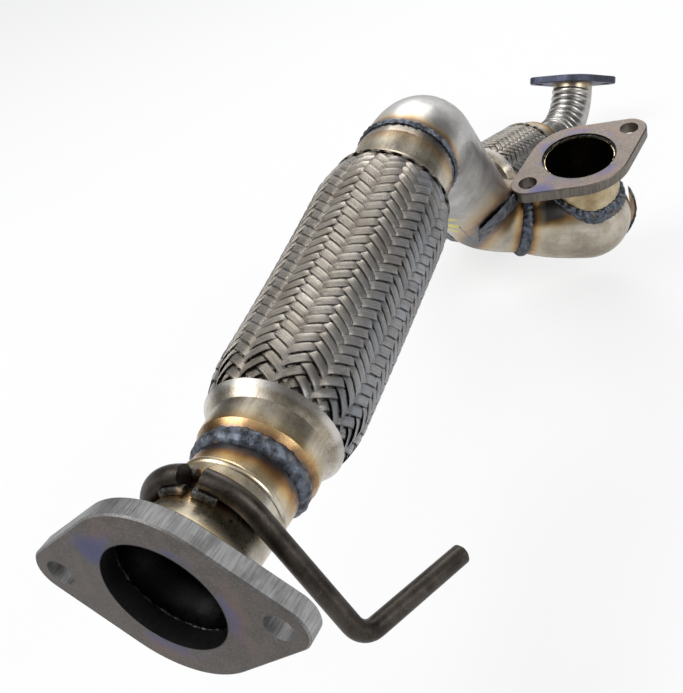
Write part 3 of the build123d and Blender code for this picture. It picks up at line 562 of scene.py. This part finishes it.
def ribbon_rows(mesh, coupling, family, ribbon, chance):
    """One ribbon's rows of (vertex, length, share across), from rim to rim. Families lean to either side."""
    spacing = 2 * pi / RIBBONS
    rate = spacing / TWILL_ROW
    tone = mesh.verts.layers.float["strand"]
    shade_of_strand = chance.random()
    drift = chance.uniform(-0.012, 0.012)
    width = RIBBON_WIDTH * chance.uniform(0.94, 1.03)
    full_r = BRAID_MOUTH_R + coupling.swell
    count = int(coupling.length / (TWILL_ROW / 2) * STEPS) + 1
    rows = []
    for step in range(count + 1):
        distance = coupling.length * step / count
        turned = distance * rate
        turn = ribbon * spacing + family * turned + drift * sin(distance / 23.0 + ribbon)
        # Two crossings over, two under, with flat tops
        phase = 2 * ribbon + family * 2 * turned / spacing
        wave = sin(pi / 2 * max(-1.0, min(1.0, 1.55 * cos(2 * pi * (phase - 0.5) / 4))))
        radius = coupling.radius(distance)
        slant = rate * radius
        squared = 1 + slant * slant
        half_turn = width * (0.55 + 0.45 * radius / full_r) / 2 * squared ** 0.5 / radius
        clear = min(1.0, coupling.from_rim(distance) / TUCK_LENGTH)
        middle = (radius - RIBBON_DEPTH + RIBBON_LIFT * wave * family * (0.35 + 0.65 * clear)
                  - TUCK_DEPTH * (1 - clear))
        row = []
        for k in range(WIDE + 1):
            across = k / WIDE
            off = (across - 0.5) * 2
            # A point across the ribbon lies square to its run, so it moves both round the coupling and along it
            shifted = distance - family * off * half_turn * radius * slant / squared
            shifted = max(-TUCK_PAST_RIM, min(coupling.length + TUCK_PAST_RIM, shifted))
            vertex = mesh.verts.new(coupling.place(
                shifted, turn + off * half_turn / squared, middle - RIBBON_CROWN * off * off) * MM)
            vertex[tone] = shade_of_strand
            row.append((vertex, distance / RIBBON_UV_LENGTH, across))
        rows.append(row)
    return rows


def add_ribbon(mesh, rows):
    uv = mesh.loops.layers.uv["ribbon"]
    for previous, row in zip(rows, rows[1:]):
        for k in range(WIDE):
            corners = [previous[k], previous[k + 1], row[k + 1], row[k]]
            face = mesh.faces.new([vertex for vertex, _, _ in corners])
            face.smooth = True
            for loop, (_, length, across) in zip(face.loops, corners):
                loop[uv].uv = (length, across)


def turn_outward(mesh, coupling):
    """Turns every face's front away from the centre line."""
    mesh.normal_update()
    turned = []
    for face in mesh.faces:
        centre = face.calc_center_median() / MM
        distance = max(0.0, min(coupling.length, (centre - coupling.start).dot(coupling.way)))
        axis_point, tangent, _ = coupling.at(distance)
        out = centre - axis_point
        out -= tangent * out.dot(tangent)
        if face.normal.dot(out) < 0:
            turned.append(face)
    bmesh.ops.reverse_faces(mesh, faces=turned)


def add_shade_sleeve(mesh, coupling):
    grid = []
    for i in range(SHADE_SLEEVE_RINGS + 1):
        distance = coupling.length * i / SHADE_SLEEVE_RINGS
        radius = coupling.radius(distance) - SHADE_SLEEVE_DEPTH
        grid.append([mesh.verts.new(coupling.place(distance, 2 * pi * j / SHADE_SLEEVE_SIDES, radius) * MM)
                     for j in range(SHADE_SLEEVE_SIDES)])
    for ring, following in zip(grid, grid[1:]):
        for j in range(SHADE_SLEEVE_SIDES):
            k = (j + 1) % SHADE_SLEEVE_SIDES
            face = mesh.faces.new((ring[j], following[j], following[k], ring[k]))
            face.smooth = True
            face.material_index = 1


def new_piece(name, data):
    piece = bpy.data.objects.new(name, data)
    bpy.context.scene.collection.objects.link(piece)
    return piece


def woven_sleeve(name, coupling, seed):
    """Two families of wire ribbons in a two-over-two twill, over a near-black sleeve of painted shade."""
    chance = random.Random(seed)
    mesh = bmesh.new()
    mesh.loops.layers.uv.new("ribbon")
    mesh.verts.layers.float.new("strand")
    for family in (1, -1):
        for ribbon in range(RIBBONS):
            add_ribbon(mesh, ribbon_rows(mesh, coupling, family, ribbon, chance))
    turn_outward(mesh, coupling)
    add_shade_sleeve(mesh, coupling)
    data = bpy.data.meshes.new(name)
    mesh.to_mesh(data)
    mesh.free()
    return new_piece(name, data)


# Weld beads

def finer_copy(node, name, voxel):
    """A CAD node's solid as one even, fine mesh."""
    data = nodes[node].data.copy()
    mesh = bmesh.new()
    mesh.from_mesh(data)
    bmesh.ops.remove_doubles(mesh, verts=mesh.verts, dist=0.01 * MM)
    mesh.to_mesh(data)
    mesh.free()
    piece = new_piece(name, data)
    remesh = piece.modifiers.new("finer", "REMESH")
    remesh.mode = "VOXEL"
    remesh.voxel_size = voxel * MM
    remesh.use_smooth_shade = True
    bpy.context.view_layer.update()
    result = bpy.data.meshes.new_from_object(piece.evaluated_get(bpy.context.evaluated_depsgraph_get()))
    piece.modifiers.clear()
    piece.data = result
    return piece


def lumpy_bead(node, voxel, lump, lump_size, ripples, seed):
    """A weld bead with uneven lumps, and with the arc's ripples round a ring weld.

    Ripples are None, or (height, the ring's centre, its axis, how many).
    """
    piece = finer_copy(node, node + "_bead", voxel)
    data = piece.data
    shift = Vector((seed * 7.3, seed * 3.1, seed * 5.7))
    normals = [vertex.normal.copy() for vertex in data.vertices]
    for vertex, normal in zip(data.vertices, normals):
        place = vertex.co / MM
        move = lump * noise.noise(place / lump_size + shift)
        move += 0.4 * lump * noise.noise(place / lump_size * 2.7 + shift)
        if ripples:
            height, centre, axis, count = ripples
            first = axis.orthogonal().normalized()
            off = place - centre
            turn = atan2(off.dot(axis.cross(first)), off.dot(first)) / (2 * pi)
            move += height * sin(2 * pi * (turn * count + 0.35 * noise.noise(place / 6.0)))
        vertex.co += normal * (move * MM)
    for polygon in data.polygons:
        polygon.use_smooth = True
    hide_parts(node)
    return piece


# Floor, light and background, with these lengths in metres

LIT_AT = (0.0, 0.35, -0.03)
FLOOR_REACH = 6.0
FLOOR_GLOW = 0.72
# Directions of the grey cards, with the cosines where they are full and where they end
DARK_CARDS = (((0.5, -0.8, 0.25), 0.86, 0.60), ((-0.95, 0.1, 0.25), 0.90, 0.70),
              ((0.75, 0.6, 0.3), 0.93, 0.75), ((0.1, 0.3, 1.0), 0.97, 0.90))


def dark_card(room, outward, way, inner, outer, walls):
    """The studio's walls with a soft grey card in one direction, for metal to mirror."""
    card = room.level(room.vector("DOT_PRODUCT", outward, Vector(way).normalized()), outer, inner, 1.0, 0.16)
    return room.times(card, walls)


def softbox(name, place, size, power):
    data = bpy.data.lights.new(name, "AREA")
    data.shape = "RECTANGLE"
    data.size, data.size_y = size
    data.energy = power
    lamp = new_piece(name, data)
    lamp.location = place
    lamp.rotation_euler = (Vector(LIT_AT) - Vector(place)).to_track_quat("-Z", "Y").to_euler()


def make_floor(height):
    """A plain pale floor: it keeps part of the object's shadow, and is near white to the camera."""
    data = bpy.data.meshes.new("floor")
    corners = [(x * FLOOR_REACH, y * FLOOR_REACH, height) for x, y in ((-1, -1), (1, -1), (1, 1), (-1, 1))]
    data.from_pydata(corners, [], [(0, 1, 2, 3)])
    material = bpy.data.materials.new("pale_floor")
    material.use_nodes = True
    g = Nodes(material.node_tree)
    matte = g.add("ShaderNodeBsdfDiffuse")
    g.put(matte.inputs["Color"], (0.90, 0.90, 0.90))
    glow = g.times(g.add("ShaderNodeLightPath").outputs["Is Camera Ray"], FLOOR_GLOW)
    surface = g.shader_mix(glow, matte.outputs[0], g.add("ShaderNodeEmission").outputs[0])
    g.put(g.add("ShaderNodeOutputMaterial").inputs["Surface"], surface)
    data.materials.append(material)
    floor = new_piece("floor", data)


def make_room():
    """White to the camera, white with soft grey cards in mirrors, and a plain grey light on everything."""
    world = bpy.data.worlds.new("studio")
    bpy.context.scene.world = world
    world.use_nodes = True
    room = Nodes(world.node_tree)
    outward = room.add("ShaderNodeTexCoord").outputs["Generated"]
    ray = room.add("ShaderNodeLightPath").outputs
    walls = 1.0
    for way, inner, outer in DARK_CARDS:
        walls = dark_card(room, outward, way, inner, outer, walls)
    lights = []
    for colour, strength in (((0.62, 0.63, 0.65), 0.75), (walls, 1.0), ((1.0, 1.0, 1.0), 1.0)):
        light = room.add("ShaderNodeBackground")
        room.put(light.inputs["Color"], colour)
        light.inputs["Strength"].default_value = strength
        lights.append(light.outputs[0])
    ambient, mirrored, background = lights
    in_mirror = room.math("MAXIMUM", ray["Is Glossy Ray"], ray["Is Transmission Ray"])
    seen = room.shader_mix(ray["Is Camera Ray"], room.shader_mix(in_mirror, ambient, mirrored), background)
    room.put(room.add("ShaderNodeOutputWorld").inputs["Surface"], seen)


# The scene

camera = new_piece("camera", bpy.data.cameras.new("camera"))
camera.data.sensor_fit = "HORIZONTAL"
camera.data.sensor_width = SENSOR_WIDTH
camera.data.lens = SENSOR_WIDTH * FOCAL_LENGTH_PIXELS / PHOTO_WIDTH
camera.data.clip_start = 0.01
camera.matrix_world = Matrix.Translation(CAMERA_PLACE * MM) @ Matrix(
    (RIGHT, -DOWN, -FORWARD)).transposed().to_4x4()
bpy.context.scene.camera = camera
bpy.context.scene.view_settings.view_transform = "Standard"

dress(flange_finish("outlet_flange_steel", (0, 0, 0), Y_AXIS, bore_r=30.0, face=(0.115, 0.10, 0.09),
                    blue_at=(-27, 0, 20), blue_reach=14.0), "outlet_flange")
dress(flange_finish("inlet_flange_steel", INLET_FACE, INLET_WAY, bore_r=28.5, face=(0.155, 0.132, 0.115),
                    blue_at=(5.1, 476.4, -74.1), blue_reach=16.0, edge=(0.22, 0.195, 0.17), blue=0.75),
      "inlet_flange")
dress(flange_finish("rear_flange_steel", REAR_FACE, REAR_NORMAL, bore_r=20.0, face=(0.07, 0.072, 0.09),
                    blue_at=REAR_FACE - REAR_BOLTS * 20, blue_reach=30.0, edge=(0.09, 0.10, 0.14), blue=0.9),
      "rear_flange")
dress(neck_finish(), "outlet_neck")
dress(cap_finish("outlet_cap_steel", RIM, RIM_WAY, 0.9), "main_flex_outlet_cap")
dress(cap_finish("inlet_cap_steel", FAR_RIM, -FAR_WAY, 0.6), "main_flex_inlet_cap")
dress(cap_finish("rear_front_cap_steel", REAR_RIM, REAR_WAY, 0.9), "rear_flex_front_cap")
dress(cap_finish("rear_back_cap_steel", REAR_FAR, -REAR_WAY, 0.9), "rear_flex_rear_cap")
dress(elbow_finish(), "main_elbow_pipe")
dress(collector_finish(), "collector_elbow", "rear_branch_pipe")
dress(pot_finish(), "inlet_pot_front_shell", "inlet_pot_rear_shell")
dress(inlet_neck_finish(), "inlet_neck")
dress(wrinkle_finish(), "wrinkle_pipe")
dress(rod_finish(), "hanger_rod", "hanger_saddle")
dress(inner_finish(), "main_flex_bellows", "main_flex_liner", "rear_flex_bellows", "rear_flex_liner")

# The near-black sleeve under the weave is painted shade
painted_shade_under_braid = shade_sleeve_finish()
main_coupling = Coupling(RIM, RIM_WAY, BEND_SIDE, bend_r=688.0, bend_length=113.594, length=177.994, swell=5.5)
# The rear coupling is straight: it bends over no length
rear_coupling = Coupling(REAR_RIM, REAR_WAY, Vector((1, 0, 0)), bend_r=1e9, bend_length=0.0, length=78.0, swell=1.5)
for name, coupling, seed in (("main_flex_braid", main_coupling, 3), ("rear_flex_braid", rear_coupling, 5)):
    woven = woven_sleeve(name + "_weave", coupling, seed)
    # The braid's blue-grey painted reflection lies on the side towards the camera's right
    woven.data.materials.append(braid_finish(name + "_wire", RIGHT * 0.9 + DOWN * 0.2))
    woven.data.materials.append(painted_shade_under_braid)
    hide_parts(name)
    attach(woven, "root")

blue_weld = weld_finish("weld_bead", light=(0.15, 0.17, 0.205), dark=(0.045, 0.05, 0.06), brown=0.35)
dark_weld = weld_finish("dark_weld_bead", light=(0.09, 0.088, 0.085), dark=(0.025, 0.023, 0.02), brown=0.4)
rear_branch_end = REAR_RIM - REAR_WAY * REAR_CAP_LENGTH
rear_pipe_start = REAR_FAR + REAR_WAY * REAR_CAP_LENGTH
# Node, voxel, height and size of the lumps, ripples and finish
BEADS = (
    ("outlet_ring_weld", 0.7, 0.8, 9.0, (0.16, NECK_TOP, RIM_WAY, 30), blue_weld),
    ("elbow_ring_weld", 0.7, 0.45, 4.0, (0.25, ELBOW_START, FAR_WAY, 40), blue_weld),
    ("collector_seam_weld", 0.8, 0.7, 4.0, (0.3, SEAM_POINT, SEAM_WAY, 40), blue_weld),
    ("collector_ring_weld", 0.8, 0.6, 4.0, (0.3, POT_MOUTH, POT_WAY, 36), blue_weld),
    ("inlet_pot_seam_weld", 0.7, 0.45, 3.5, None, blue_weld),
    ("inlet_neck_weld", 0.7, 0.5, 3.5, (0.25, INLET_FACE, INLET_WAY, 34), blue_weld),
    ("inlet_flange_weld", 0.7, 0.5, 3.5, (0.2, INLET_FACE, INLET_WAY, 34), dark_weld),
    ("outlet_flange_weld", 0.7, 0.9, 5.0, (0.3, Vector((0, 10, 0)), Y_AXIS, 26), dark_weld),
    ("rear_branch_saddle_weld", 0.8, 0.5, 4.0, None, blue_weld),
    ("rear_branch_ring_weld", 0.8, 0.5, 4.0, (0.2, rear_branch_end, REAR_WAY, 32), blue_weld),
    ("rear_pipe_ring_weld", 0.7, 0.4, 4.0, (0.2, rear_pipe_start, REAR_WAY, 28), blue_weld),
    ("rear_flange_weld", 0.7, 0.4, 3.5, (0.2, REAR_FACE, REAR_NORMAL, 24), dark_weld),
    ("hanger_welds", 0.6, 0.4, 3.0, None, dark_weld),
)
for seed, (node, voxel, lump, lump_size, ripples, finish) in enumerate(BEADS):
    bead = lumpy_bead(node, voxel, lump, lump_size, ripples, seed)
    bead.data.materials.clear()
    bead.data.materials.append(finish)
    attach(bead, "root")

lowest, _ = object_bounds()
make_floor(lowest[2])
make_room()
softbox("key", (-0.9, -0.5, 1.3), (0.9, 0.9), 16)
softbox("fill", (1.3, 0.1, 0.7), (0.8, 0.8), 8)
softbox("back", (-0.3, 1.6, 1.0), (1.0, 0.6), 8)
